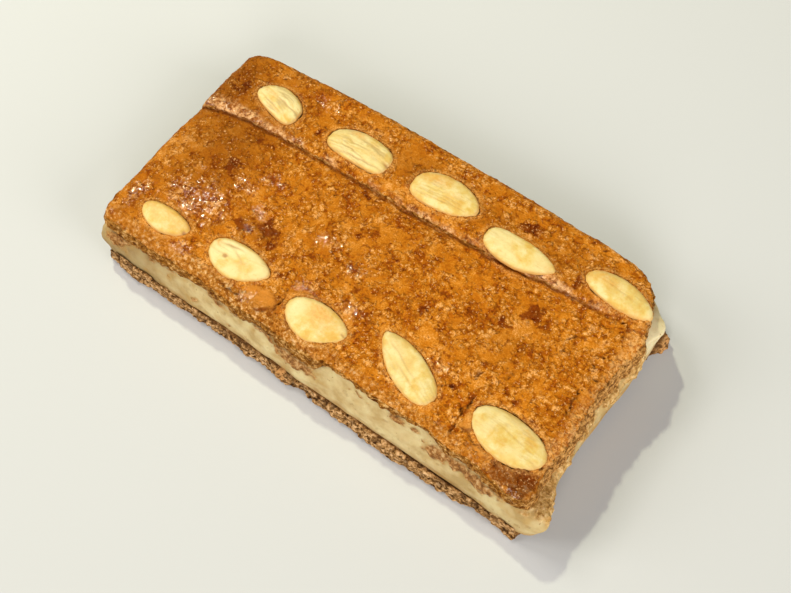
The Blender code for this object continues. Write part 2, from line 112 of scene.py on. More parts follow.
def closeHidden(piece, inner, isLevel):
    # the finely meshed faces that lie against the next layer become one flat face;
    # inner is their rectangle: half its length, half its width, the y of its middle
    selectOnly(piece)
    centres = readThrees(piece.data.polygons, "center") * metre + slab["middle"]
    normals = readThrees(piece.data.polygons, "normal")
    halfLength, halfWidth, middleY = inner
    hidden = (isLevel(centres, normals) & (np.abs(centres[:, 0]) < halfLength)
              & (np.abs(centres[:, 1] - middleY) < halfWidth))
    setMode("EDIT")
    bpy.ops.mesh.select_mode(type="FACE")
    bpy.ops.mesh.select_all(action="DESELECT")
    setMode("OBJECT")
    piece.data.polygons.foreach_set("select", hidden)
    setMode("EDIT")
    bpy.ops.mesh.delete(type="FACE")
    bpy.ops.mesh.select_mode(type="EDGE")
    bpy.ops.mesh.select_all(action="DESELECT")
    bpy.ops.mesh.select_non_manifold(extend=False, use_wire=False, use_boundary=True,
                                     use_multi_face=False, use_non_contiguous=False, use_verts=False)
    bpy.ops.mesh.edge_face_add()
    bpy.ops.mesh.select_mode(type="VERT")
    setMode("OBJECT")


# Small tools for relief

def rise(low, high, values):
    # 0 up to low, 1 from high on and a smooth slope between; it falls where low is the larger
    share = np.clip((values - low) / (high - low), 0, 1)
    return share * share * (3 - 2 * share)


def lumps(points, size, seed, squeeze=(1, 1, 1)):
    # smooth noise from about -1 to 1, with features of about this size
    seedStep, gain = 7.31, 1.6
    scaled = points * squeeze / size + seed * seedStep
    return gain * np.array([noise.noise(p) for p in scaled.tolist()])


def waves(points, swells):
    # swells are (height, size, seed), some with a squeeze, and are added up
    return sum(height * lumps(points, *settings) for height, *settings in swells)


def creases(points, size, seed, width=0.25):
    # 1 along thin winding lines, 0 away from them
    return 1 - np.clip(np.abs(lumps(points, size, seed)) / width, 0, 1)


def spots(points, places, wobble=1.5):
    # places are (x, y, half length, half width, turn in degrees, strength)
    wobbleSize, fallOff = 3.5, 1.2
    moved = points[:, :2] + wobble * np.stack(
        [lumps(points, wobbleSize, 61), lumps(points, wobbleSize, 67)], axis=1)
    total = np.zeros(len(points))
    for x, y, halfLength, halfWidth, turn, strength in places:
        cos, sin = math.cos(math.radians(turn)), math.sin(math.radians(turn))
        dx, dy = moved[:, 0] - x, moved[:, 1] - y
        along = (dx * cos + dy * sin) / halfLength
        across = (dy * cos - dx * sin) / halfWidth
        total = np.maximum(total, strength * np.exp(-(along ** 2 + across ** 2) * fallOff))
    return total


def nearPath(points, path):
    # distance in plan from a line through the given places
    nearest = np.full(len(points), np.inf)
    for (x0, y0), (x1, y1) in zip(path, path[1:]):
        dx, dy = x1 - x0, y1 - y0
        along = (points[:, 0] - x0) * dx + (points[:, 1] - y0) * dy
        share = np.clip(along / (dx * dx + dy * dy), 0, 1)
        gap = np.hypot(points[:, 0] - x0 - share * dx, points[:, 1] - y0 - share * dy)
        nearest = np.minimum(nearest, gap)
    return nearest


# Small tools for materials

def newMaterial(name):
    material = bpy.data.materials.new(name)
    material.use_nodes = True
    tree = material.node_tree
    coords = tree.nodes.new("ShaderNodeTexCoord").outputs["Object"]
    return material, tree, tree.nodes["Principled BSDF"], coords


def feed(tree, node, inputs):
    # links what another node gives, and sets what is the same all over on the node itself
    for key, value in inputs.items():
        if isinstance(value, bpy.types.NodeSocket):
            tree.links.new(value, node.inputs[key])
        else:
            node.inputs[key].default_value = value


def addNode(tree, kind, inputs, **settings):
    node = tree.nodes.new(kind)
    for key, value in settings.items():
        setattr(node, key, value)
    feed(tree, node, inputs)
    return node


def grain(tree, coords, size, detail, roughness, output="Fac"):
    # noise with features of about this size in millimetres
    return addNode(tree, "ShaderNodeTexNoise", {
        "Vector": coords, "Scale": metre / size, "Detail": detail,
        "Roughness": roughness}).outputs[output]


def stretched(tree, coords, squeeze):
    # coordinates that make a pattern shorter along an axis by this factor
    return addNode(tree, "ShaderNodeMapping", {"Vector": coords, "Scale": squeeze}).outputs["Vector"]


def mask(tree, name):
    return addNode(tree, "ShaderNodeAttribute", {}, attribute_name=name).outputs["Fac"]


def spread(tree, value, low, high, toLow=0.0, toHigh=1.0):
    # a smooth slope from toLow at low to toHigh at high
    return addNode(tree, "ShaderNodeMapRange", {
        "Value": value, "From Min": low, "From Max": high, "To Min": toLow, "To Max": toHigh,
    }, interpolation_type="SMOOTHSTEP").outputs["Result"]


def patches(tree, coords, size, detail, roughness, *window):
    # grain spread between two of its values, so that it stands out as patches
    return spread(tree, grain(tree, coords, size, detail, roughness), *window)


def fade(tree, value, atZero, atOne):
    return spread(tree, value, 0.0, 1.0, atZero, atOne)


def cells(tree, coords, size, feature="DISTANCE_TO_EDGE", output="Distance"):
    # a pattern of broken plates of about this size in millimetres
    return addNode(tree, "ShaderNodeTexVoronoi", {"Vector": coords, "Scale": metre / size},
                   feature=feature).outputs[output]


def shifted(tree, coords, size, reach):
    # coordinates pushed about, so that a pattern's straight edges become ragged
    push = grain(tree, coords, size, 3.0, 0.5, "Color")
    scaled = addNode(tree, "ShaderNodeVectorMath", {0: push, 1: (reach * millimetre,) * 3},
                     operation="MULTIPLY").outputs[0]
    return addNode(tree, "ShaderNodeVectorMath", {0: coords, 1: scaled}, operation="ADD").outputs[0]


def calc(tree, operation, first, second=0.0):
    return addNode(tree, "ShaderNodeMath", {0: first, 1: second}, operation=operation).outputs[0]


def times(tree, first, *others):
    for other in others:
        first = calc(tree, "MULTIPLY", first, other)
    return first


def plus(tree, first, *others):
    for other in others:
        first = calc(tree, "ADD", first, other)
    return first


def mixed(tree, values, parts):
    # patterns added up, each by its part
    return plus(tree, *(times(tree, value, parts[name]) for name, value in values.items()))


def centred(tree, value):
    # a pattern from 0 to 1 comes to lie about 0
    return calc(tree, "SUBTRACT", value, 0.5)


def masked(tree, look, name, *patterns):
    # one of the piece's masks at the share that its look gives, broken up by patterns
    return times(tree, mask(tree, name), *patterns, look["shares"][name])


def domes(tree, coords, size):
    # rounded tops of plates of this size, about 0
    middleHeight = 0.22
    fall = calc(tree, "POWER", cells(tree, coords, size, "F1"), 2.0)
    return calc(tree, "SUBTRACT", middleHeight, fall)


crumbTexture = {
    "tearSize": 1.3, "tearReach": 1.2,  # of the ragged edges, in lumps
    "lump": 0.11, "dome": 0.15, "fine": 0.85, "middle": 0.49,
    "fineDetail": 5.0, "fineRoughness": 0.72,
}


def brokenCrumb(tree, coords, size):
    # lumps of crumb with sunken gaps between them, as a tone and height about 0.5
    part = crumbTexture
    torn = shifted(tree, coords, size * part["tearSize"], size * part["tearReach"])
    patterns = {
        "lump": centred(tree, cells(tree, torn, size, "F1", "Color")),
        "dome": domes(tree, torn, size),
        "fine": centred(tree, grain(tree, coords, size, part["fineDetail"], part["fineRoughness"]))}
    return plus(tree, mixed(tree, patterns, part), part["middle"])


def layer(tree, share, under, over, mode="MIX"):
    # one colour over another; 6, 7 and 2 are the node's colour sockets
    under, over = (colour if isinstance(colour, bpy.types.NodeSocket) else (*colour, 1.0)
                   for colour in (under, over))
    return addNode(tree, "ShaderNodeMix", {0: share, 6: under, 7: over},
                   data_type="RGBA", blend_type=mode).outputs[2]


def layers(tree, colour, *coats):
    # coats are a share and a colour each, laid one over the other
    for share, over in coats:
        colour = layer(tree, share, colour, over)
    return colour


def shades(tree, value, stops):
    node = addNode(tree, "ShaderNodeValToRGB", {"Fac": value})
    bar = node.color_ramp.elements
    while len(bar) < len(stops):
        bar.new(0.5)
    for element, (place, colour) in zip(bar, stops):
        element.position = place
        element.color = (*colour, 1.0)
    return node.outputs["Color"]


def bumped(tree, shader, reliefs, socket="Normal"):
    # reliefs are (height value, strength, depth in millimetres)
    normal = None
    for height, strength, depth in reliefs:
        inputs = {"Height": height, "Strength": strength, "Distance": depth * millimetre}
        if normal:
            inputs["Normal"] = normal
        normal = addNode(tree, "ShaderNodeBump", inputs).outputs["Normal"]
    tree.links.new(normal, shader.inputs[socket])


# The almond halves' places, which the crust is shaped round: middle, length and width,
# turn in degrees, how blunt the left and the right end are, and how far the middle bows

almonds = [dict(zip(("at", "size", "turn", "blunt", "bow"), row)) for row in (
    ((-67.3, 29.4), (21.5, 12.0), -14, (2.0, 2.7), 1.7),
    ((-30.0, 29.9), (26.3, 13.3), 0, (2.4, 3.2), 1.3),
    ((6.6, 31.9), (26.6, 14.5), 4, (2.8, 1.8), 0.8),
    ((40.2, 28.3), (28.1, 11.4), 0, (2.8, 1.6), -1.1),
    ((75.6, 33.3), (26.4, 11.0), -4, (2.1, 1.8), 0.8),
    ((-68.2, -29.7), (21.6, 10.0), 0, (2.0, 1.8), -1.0),
    ((-35.7, -27.6), (25.6, 13.4), 3, (2.1, 1.6), -1.5),
    ((0.3, -30.4), (24.7, 14.3), 2, (2.0, 1.7), -1.2),
    ((34.9, -26.7), (29.8, 12.5), -24, (1.6, 2.5), -0.3),
    ((74.7, -27.2), (28.0, 15.3), -5, (2.0, 2.1), -0.9),
)]


def onAlmond(points, almond):
    # place along and across an almond half, and the distance outside its outline
    turn = math.radians(almond["turn"])
    dx, dy = points[:, 0] - almond["at"][0], points[:, 1] - almond["at"][1]
    along = dx * math.cos(turn) + dy * math.sin(turn)
    across = dy * math.cos(turn) - dx * math.sin(turn)
    halfLength, halfWidth = almond["size"][0] / 2, almond["size"][1] / 2
    bend = np.clip(along / halfLength, -1, 1)
    across = across - almond["bow"] * (1 - bend ** 2)
    blunt = np.where(along < 0, almond["blunt"][0], almond["blunt"][1])
    share = (np.abs(along / halfLength) ** blunt + np.abs(across / halfWidth) ** blunt) ** (1 / blunt)
    reach = np.hypot(along, across)
    return along, across, reach - reach / np.maximum(share, 1e-3)


# Glazed top crust

crust = {
    "voxel": 0.555,
    "smoothing": 2,
    "underside": 19.5,
    "inner": (82, 36, 3),
    "relief": [(0.12, 8.0, 11), (0.06, 3.8, 12), (0.05, 2.0, 15), (0.04, 1.2, 16)],  # as for waves
    "crumbRelief": [(0.12, 1.9, 13), (0.10, 1.2, 14)],
    "lipRelief": [(0.32, 1.6, 21), (0.16, 1.05, 22)],
    "sideCrumbs": [(0.6, 1.7, 52), (0.4, 1.15, 53)],
    "foldDepth": 0.55, "foldWidth": 0.45, "lipHeight": 0.10,
    "flapHeight": 0.45, "rimHeight": 0.30, "crackDepth": 0.45, "pitDepth": 0.7,
    "squeeze": 0.42,  # how far the rim leans in over an almond half
    # where a change begins and is complete, along x or y
    "coarse": (35, 80), "foldEnds": (68, 84), "lipWidens": (-58, -84), "lipFills": (-60, -75),
    "frontCrumb": (-35.0, -38.0), "looseFront": (-25, -35), "looseEnd": (75, 85), "tanEnd": (84, 90),
    "thinner": [(0.55, -42, -62), (0.45, -15, 20), (0.30, 62, 78)],  # how much less front crumb
    # the fold's line and the cracks are lines of places; the lists after them are as for spots
    "crease": [(-92, 14.4), (-84, 16.3), (-72, 18.3), (-55, 19.3), (-40, 19.7), (-12, 20.0),
               (16, 20.6), (34, 22.0), (50, 23.4), (62, 24.6), (76, 25.4)],
    "cracks": [
        [(-15.4, -27.0), (-13.6, -30.5), (-14.4, -34.0), (-12.8, -38.5)],
        [(57.0, -19.5), (58.6, -24.0), (57.8, -28.5), (58.6, -33.5), (59.4, -37.0)],
        [(55.2, -14.0), (54.4, -17.0), (57.0, -19.5)],
        [(61.0, -8.0), (63.0, -12.0)],
        [(83.4, -1.0), (84.2, -4.6), (83.6, -7.0), (85.0, -10.6)],
        [(62.0, -33.0), (66.0, -35.2), (72.0, -36.2)],
        [(60.4, 44.6), (64.5, 45.6), (68.4, 44.0)],
        [(-37.0, -37.4), (-33.5, -38.8), (-28.0, -38.4)],
        [(72.6, 14.4), (70.6, 10.0), (71.6, 6.2)],
    ],
    "flaps": [  # smooth dough squeezed up between the almond halves
        (-19.6, -34.8, 8.0, 4.4, 0, 1.2), (63, -29.5, 3.4, 5.5, -25, 1.2),
        (70, -36.6, 4.5, 1.6, -8, 1.0),
    ],
    "pits": [
        (84, 12, 1.0, 0.6, 20, 1), (82.3, 7.5, 1.3, 0.7, -40, 1), (85.5, 4.5, 1.2, 0.6, 10, 1),
        (83.5, -3, 0.8, 0.5, 60, 1), (84.5, -8, 0.8, 0.5, 80, 1), (72, 14, 0.8, 0.5, 0, 0.8),
        (72, 7, 0.8, 0.5, 30, 0.8), (81.5, 26, 1.1, 0.7, 40, 1), (84.5, 22, 0.9, 0.6, 0, 0.8),
        (86, 25.5, 0.8, 0.6, 0, 0.8), (50, -24, 1.0, 0.7, 0, 1), (47.5, -25.5, 1.0, 0.6, 30, 1),
        (58, -29, 0.9, 0.5, 90, 0.8), (69, 27, 1.0, 0.5, 70, 0.8), (10, 1, 1.4, 0.8, -20, 0.5),
    ],
    "darkPatches": [
        (-64, 0, 5, 5, 30, 0.75), (-58, 3, 2.5, 2, 0, 0.6), (-45, -17, 5, 3, 0, 0.9),
        (-35, -13, 6, 4, -20, 1.0), (-30, -17, 3, 4, 0, 0.7), (-20, -25, 4, 3, 0, 0.7),
        (-8, 2, 2.5, 2, 0, 0.7), (10, 1, 1.8, 1.2, -20, 0.8), (57, 12, 4.5, 5, 20, 0.9),
        (51, 4, 4.5, 2, -10, 0.9), (60, -2, 3, 2, 0, 0.5), (27, -7, 4, 3, 0, 0.6),
        (37, 38.5, 8, 2.5, 0, 0.8), (-14.5, -33, 1.6, 5, 10, 0.8), (3.5, -14, 1.6, 2, 0, 0.6),
        (42, -15, 3, 2.2, 0, 0.6), (70, -17, 5, 2.5, 0, 0.6), (80, -20, 6, 2.5, 0, 0.6),
        (83, -37.5, 9, 4.8, 10, 1.5), (86.5, -40, 4, 3, 0, 0.8), (84, 8, 2, 6, -10, 0.5),
        (84, 24, 4, 3, 0, 0.4), (50, -24, 3, 2, 0, 0.7), (62, 29, 2, 4, 0, 0.7),
        (-37, 22, 6, 2, 0, 0.6), (-45, 30, 2, 5, 0, 0.5), (-62, 14, 10, 3, 5, 0.5),
        (-84, 30, 5, 12, 0, 0.5), (-18, 17, 14, 2, 0, 0.4), (20, 18.5, 10, 1.8, 3, 0.45),
        (2, -41, 5, 2.5, 0, 0.8), (66, -37, 6, 2, 0, 0.5), (-53, 36, 2, 4, 0, 0.3),
        (30, 24, 2, 6, 0, 0.3),
    ],
    "brownZones": [
        (-88, 28, 14, 24, 0, 1.25), (-72, 0, 14, 20, 0, 0.75), (-70, 42, 16, 8, 0, 0.6),
        (-38, -15, 13, 7, -10, 0.7), (-84, -30, 7, 14, 0, 0.5), (-50, 24, 20, 5, 0, 0.35),
        (86, 0, 7, 40, 0, 0.25), (85, -38, 10, 6, 0, 1.0), (0, 17, 60, 1.8, 2, 0.35),
        (-72, 12, 24, 40, 0, 0.9), (-15, 5, 42, 60, 0, 0.22), (55, 36, 25, 9, 0, 0.45),
        (55, 0, 18, 16, 0, 0.30), (-72, -41, 26, 7, 0, 0.5), (-2, 36, 50, 9, 0, 0.65),
    ],
    "crumblyZones": [
        (84, -38, 9, 6, 0, 1.2), (-66, -18, 18, 9, 0, 0.5), (-10, -20, 14, 6, 0, 0.5),
        (60, -28, 7, 14, 0, 0.7), (80, 20, 12, 12, 0, 0.7), (84, -20, 8, 16, 0, 0.7),
        (20, -12, 16, 8, 0, 0.4), (40, -8, 16, 7, 0, 0.5), (58, 24, 12, 3, 0, 0.5),
        (10, 15, 4, 3, 0, 0.8), (-45, -36, 30, 3.5, 0, 0.6), (20, -38, 24, 3, 0, 0.6),
        (80, -38, 12, 5, 0, 0.9), (-30, 41, 26, 3, 0, 0.4), (48, 40, 20, 6, 0, 0.3),
    ],
    "glossy": [
        (-64, -17, 15, 8, 0, 1.0), (-85, -26, 4, 7, 0, 0.9), (-87, -38, 3, 3, 0, 1.0),
        (-55, -35, 5, 3, 20, 1.0), (-42, -9, 4, 3, 0, 1.0), (-54, -4, 5, 3, 0, 0.9),
        (-48, 4.5, 4, 3, 0, 0.8), (-25, -37, 4, 3, 0, 0.8), (-10, -22, 5, 4, 0, 0.8),
        (8, -21, 5, 3, 0, 0.9), (0, -9, 4, 3, 0, 0.8), (-15, -5, 4, 3, 0, 0.8),
        (-54, 40, 7, 3, 0, 0.45), (-25, 40.5, 8, 2.5, 0, 0.45), (42, -21, 6, 3, 0, 0.9),
        (60, 25, 8, 2, 0, 1.0), (86, -41, 4, 2.5, 0, 1.0), (90, -14, 3, 3, 0, 0.8),
        (-37, -15, 10, 6, 0, 0.35),
    ],
}


def creaseGap(points):
    # distance behind (+) or before (-) the fold line, and how strong the fold is there
    xs, ys = zip(*crust["crease"])
    line = np.interp(points[:, 0], xs, ys) + 0.35 * lumps(points * (1, 0, 0), 5.0, 81)
    strength = 1 - rise(*crust["foldEnds"], points[:, 0])
    return points[:, 1] - line, strength


def makeCrust():
    piece = copyNode("top_crust", "glazed_crust")
    remeshFine(piece, crust["voxel"], crust["smoothing"])
    closeHidden(piece, crust["inner"],
                lambda c, n: (n[:, 2] < -0.7) & (c[:, 2] < crust["underside"] + 0.6))
    points, normals = readPoints(piece), readNormals(piece)
    x, y, z = points.T
    top = rise(0.25, 0.75, normals[:, 2])
    hidden = rise(0.5, 0.9, -normals[:, 2])
    side = (1 - top) * (1 - hidden)
    coarse = rise(*crust["coarse"], x)  # the crumb is coarser towards the right end

    # smooth glazed plates, with rough crumb showing between them
    zones = spots(points, crust["crumblyZones"])
    crumbly = rise(-0.10, 0.40, lumps(points, 5.5, 101) + 0.5 * lumps(points, 2.6, 102)
                   + 0.30 * coarse + 0.7 * zones - 0.20)
    height = waves(points, crust["relief"])
    height += crumbly * (0.8 + 0.5 * coarse) * waves(points, crust["crumbRelief"])
    height += (0.10 + 0.12 * crumbly) * rise(-0.05, 0.22, lumps(points, 3.0, 17))  # plates' steps

    flaps = rise(0.35, 0.65, spots(points, crust["flaps"], 0.8))
    crumbly *= 1 - 0.7 * flaps
    height += flaps * (crust["flapHeight"] + 0.20 * lumps(points, 2.6, 18))

    # the fold: a sharp groove with a flaky lip behind it; its dark line is painted shade
    behind, strength = creaseGap(points)
    strength = strength * top
    height -= strength * crust["foldDepth"] * np.exp(-(behind / crust["foldWidth"]) ** 2)
    wide = 1 + rise(*crust["lipWidens"], x)
    lip = strength * rise(0.1, 0.7, behind)
    lip *= 1 - rise(1.4, 3.4, behind / wide + 0.8 * lumps(points, 3.0, 24))
    lip *= rise(-0.35, 0.25, lumps(points * (1, 0.3, 0), 9.0, 23) + 0.10
                + 0.4 * rise(*crust["lipFills"], x))
    height += lip * (crust["lipHeight"] + waves(points, crust["lipRelief"]))

    # dough pressed up round the almond halves and in over their sides; a dark gap is left
    # here and there, mostly on the far side
    # rimLight marks the raised rim, which gets a painted highlight
    rimLight = np.zeros(len(points))
    squeeze = np.zeros(points.shape)
    for almond in almonds:
        outside = onAlmond(points, almond)[2]
        near = np.exp(-((outside - 0.5) / 0.8) ** 2) * (outside > -0.8)
        shifts = ((0.1, 0, 0), (0, 0.1, 0))
        slopeX, slopeY = (10 * (onAlmond(points + shift, almond)[2] - outside) for shift in shifts)
        close = np.exp(-((outside - 0.1) / 0.6) ** 2) * rise(21.5, 22.5, z) * (1 - hidden)
        close *= rise(-0.75, 0.15, lumps(points, 4.0, 32))
        close *= 1 - 0.85 * rise(0.2, 0.8, slopeY - 0.4 * slopeX)
        squeeze -= np.stack([slopeX, slopeY, 0 * x], axis=1) * (crust["squeeze"] * close)[:, None]
        height += top * near * (crust["rimHeight"] + 0.25 * lumps(points, 2.4, 31))
        rimLight = np.maximum(rimLight, np.exp(-((outside - 0.9) / 0.7) ** 2))

    # open cracks and pits
    wobbled = points + 0.6 * np.stack([lumps(points, 1.8, 41), lumps(points, 1.8, 42), 0 * x], axis=1)
    crack = np.zeros(len(points))
    for path in crust["cracks"]:
        crack = np.maximum(crack, 1 - rise(0.1, 0.55, nearPath(wobbled, path)))
    crack *= rise(-0.5, 0.2, lumps(points, 2.2, 43))
    pits = rise(0.3, 0.9, spots(points, crust["pits"], 0.6))
    height -= top * (crust["crackDepth"] * crack + crust["pitDepth"] * pits)

    # crumbly, layered side with a ragged lower lip
    flakes = lumps(points, 3.0, 51, (1, 1, 2.0))
    crumbs = waves(points, crust["sideCrumbs"])
    frontCrumb = rise(*crust["frontCrumb"], y + 0.9 * lumps(points, 3.5, 54))
    thickness = 1
    for amount, start, end in crust["thinner"]:
        thickness = thickness - amount * rise(start, end, x)
    frontCrumb *= thickness
    shoulder = np.maximum(rise(0.97, 0.75, normals[:, 2]), frontCrumb)
    loose = np.maximum(rise(*crust["looseFront"], y), rise(*crust["looseEnd"], x))
    push = top * height + side * ((0.25 + 0.30 * loose) * flakes + 0.1)
    push += shoulder * (1 - hidden) * (0.18 + 0.32 * loose) * crumbs
    points = points + normals * push[:, None] + squeeze
    lower = side * rise(-0.4, 0.2, -normals[:, 2])
    points[:, 2] -= lower * (0.25 + 0.50 * rise(-0.6, 0.8, lumps(points, 2.6, 55)))
    writePoints(piece, points)

    # where the finishes go
    # the flaps shifted a little: where a flap is left uncovered by its shifted copy, one side of it
    # gets a painted shadow line
    beside = rise(0.35, 0.65, spots(points + (1.1, -0.3, 0), crust["flaps"], 0.8))
    storeMasks(
        piece,
        side=rise(0.86, 0.50, normals[:, 2] + 0.10 * flakes),
        shoulder=frontCrumb,
        dark=spots(points, crust["darkPatches"]),
        brown=spots(points, crust["brownZones"], 3.0),
        gloss=np.maximum(spots(points, crust["glossy"]), 0.50 * lip),
        crumbly=np.maximum(crumbly, shoulder),
        lip=lip,
        flap=flaps,
        flapEdge=1.5 * flaps * (1 - beside) * rise(-0.4, 0.1, lumps(points, 3.0, 19)),
        # painted shade along the fold's groove
        fold=strength * np.exp(-((behind + 0.1) / 0.5) ** 2),
        # painted shade inside the cracks and pits
        deep=np.maximum(crack, pits),
        rimLight=rimLight * top,
        edge=rise(*crust["tanEnd"], x + 1.5 * lumps(points, 5, 57) - 5.0 * rise(-28, -36, y)))
    return piece


glazeLook = {
    "shades": [  # the baked dough from its darkest to its palest grains
        (0.380, (0.30, 0.058, 0.001)), (0.435, (0.41, 0.100, 0.002)), (0.480, (0.49, 0.142, 0.004)),
        (0.520, (0.56, 0.180, 0.008)), (0.560, (0.66, 0.245, 0.026)), (0.620, (0.92, 0.43, 0.125))],
    "sideShades": [
        (0.37, (0.14, 0.038, 0.003)), (0.45, (0.30, 0.108, 0.012)), (0.52, (0.47, 0.200, 0.034)),
        (0.61, (0.80, 0.46, 0.16))],
    "shoulderShades": [
        (0.37, (0.24, 0.060, 0.004)), (0.45, (0.48, 0.165, 0.017)), (0.52, (0.64, 0.275, 0.050)),
        (0.61, (0.97, 0.63, 0.31))],
    "darken": (0.44, 0.27, 0.14), "brown": (0.52, 0.46, 0.36), "wet": (0.86, 0.79, 0.70),
    "lip": (0.60, 0.26, 0.08), "lipPale": (0.82, 0.46, 0.20), "flap": (0.57, 0.205, 0.026),
    # rimTan and grit are painted highlights
    "rimTan": (0.88, 0.47, 0.14), "edgeTan": (0.84, 0.43, 0.13), "grit": (0.95, 0.52, 0.20),
    # line, fold and crack are dark colours for painted shade: in gaps (there partly browner dough
    # too), in the fold and in the cracks
    "line": (0.17, 0.034, 0.002), "fold": (0.13, 0.028, 0.003), "crack": (0.07, 0.014, 0.003),
    "shares": {  # how strongly each mask or pattern colours what is under it
        "gloss": 0.6, "dark": 0.95, "cleft": 0.68, "grit": 0.55, "shoulder": 0.85, "flap": 0.85,
        "flapEdge": 0.85, "rimLight": 0.35, "lip": 0.85, "fold": 0.80, "edge": 0.80, "deep": 0.85},
    "grains": {  # size in millimetres, detail, roughness
        "mottle": (3.2, 5.0, 0.66), "fine": (0.58, 3.0, 0.7), "soft": (5.5, 2.5, 0.5),
        "wide": (16.0, 2.0, 0.5), "film": (4.0, 4.0, 0.65),
        "coat": (2.6, 1.0, 0.4), "coatFine": (1.1, 1.0, 0.4)},
    "patches": {  # the same three, then the grain's values between which a patch sets in
        "rough": (6.0, 3.0, 0.6, 0.56, 0.44), "openPlates": (2.6, 2.0, 0.6, 0.56, 0.63),
        "openCrumbs": (1.7, 2.0, 0.6, 0.55, 0.61), "pits": (1.4, 2.0, 0.5, 0.37, 0.30),
        # grit: painted glints where this grain is highest
        "scorch": (2.4, 3.0, 0.6, 0.43, 0.35), "grit": (0.9, 2.0, 0.6, 0.60, 0.67),
        "film": (1.6, 3.0, 0.6, 0.43, 0.51, 0.30, 1.0)},
    "plateSize": 4.4, "plateGap": (0.02, 0.10, 1.0, 0.0),
    "crumbSize": 1.9, "crumbGap": (0.04, 0.30, 1.0, 0.0), "opened": 0.7, "scorched": 0.55,
    "tear": (2.6, 2.4),  # size and reach of the plates' ragged edges
    "tone": {"soft": 0.19, "mottle": 0.26, "fine": 0.32, "plate": 0.04, "crumb": 0.07, "dome": 0.15},
    "middle": 0.455, "wide": 0.13,
    "contrast": {"rough": (0.85, 1.25), "brown": (1.0, 0.62), "gloss": (1.0, 1.80)},
    "raggedBy": 1.8,
    "shader": {"Roughness": 0.55, "Specular IOR Level": 0.04, "Coat Roughness": 0.09},
    "filmBreak": 2.2, "filmEdge": (0.25, 0.65),
    "stepParts": {"plate": 0.12, "crumb": 0.15, "dome": 0.8},
    "reliefs": {  # strength, and depth in millimetres
        "mottle": (1.0, 1.7), "steps": (1.0, 0.90), "fine": (0.9, 0.34), "cleft": (1.0, 0.08),
        "crumb": (1.0, 0.9), "coat": (1.0, 0.80), "coatFine": (1.0, 0.34)},
}


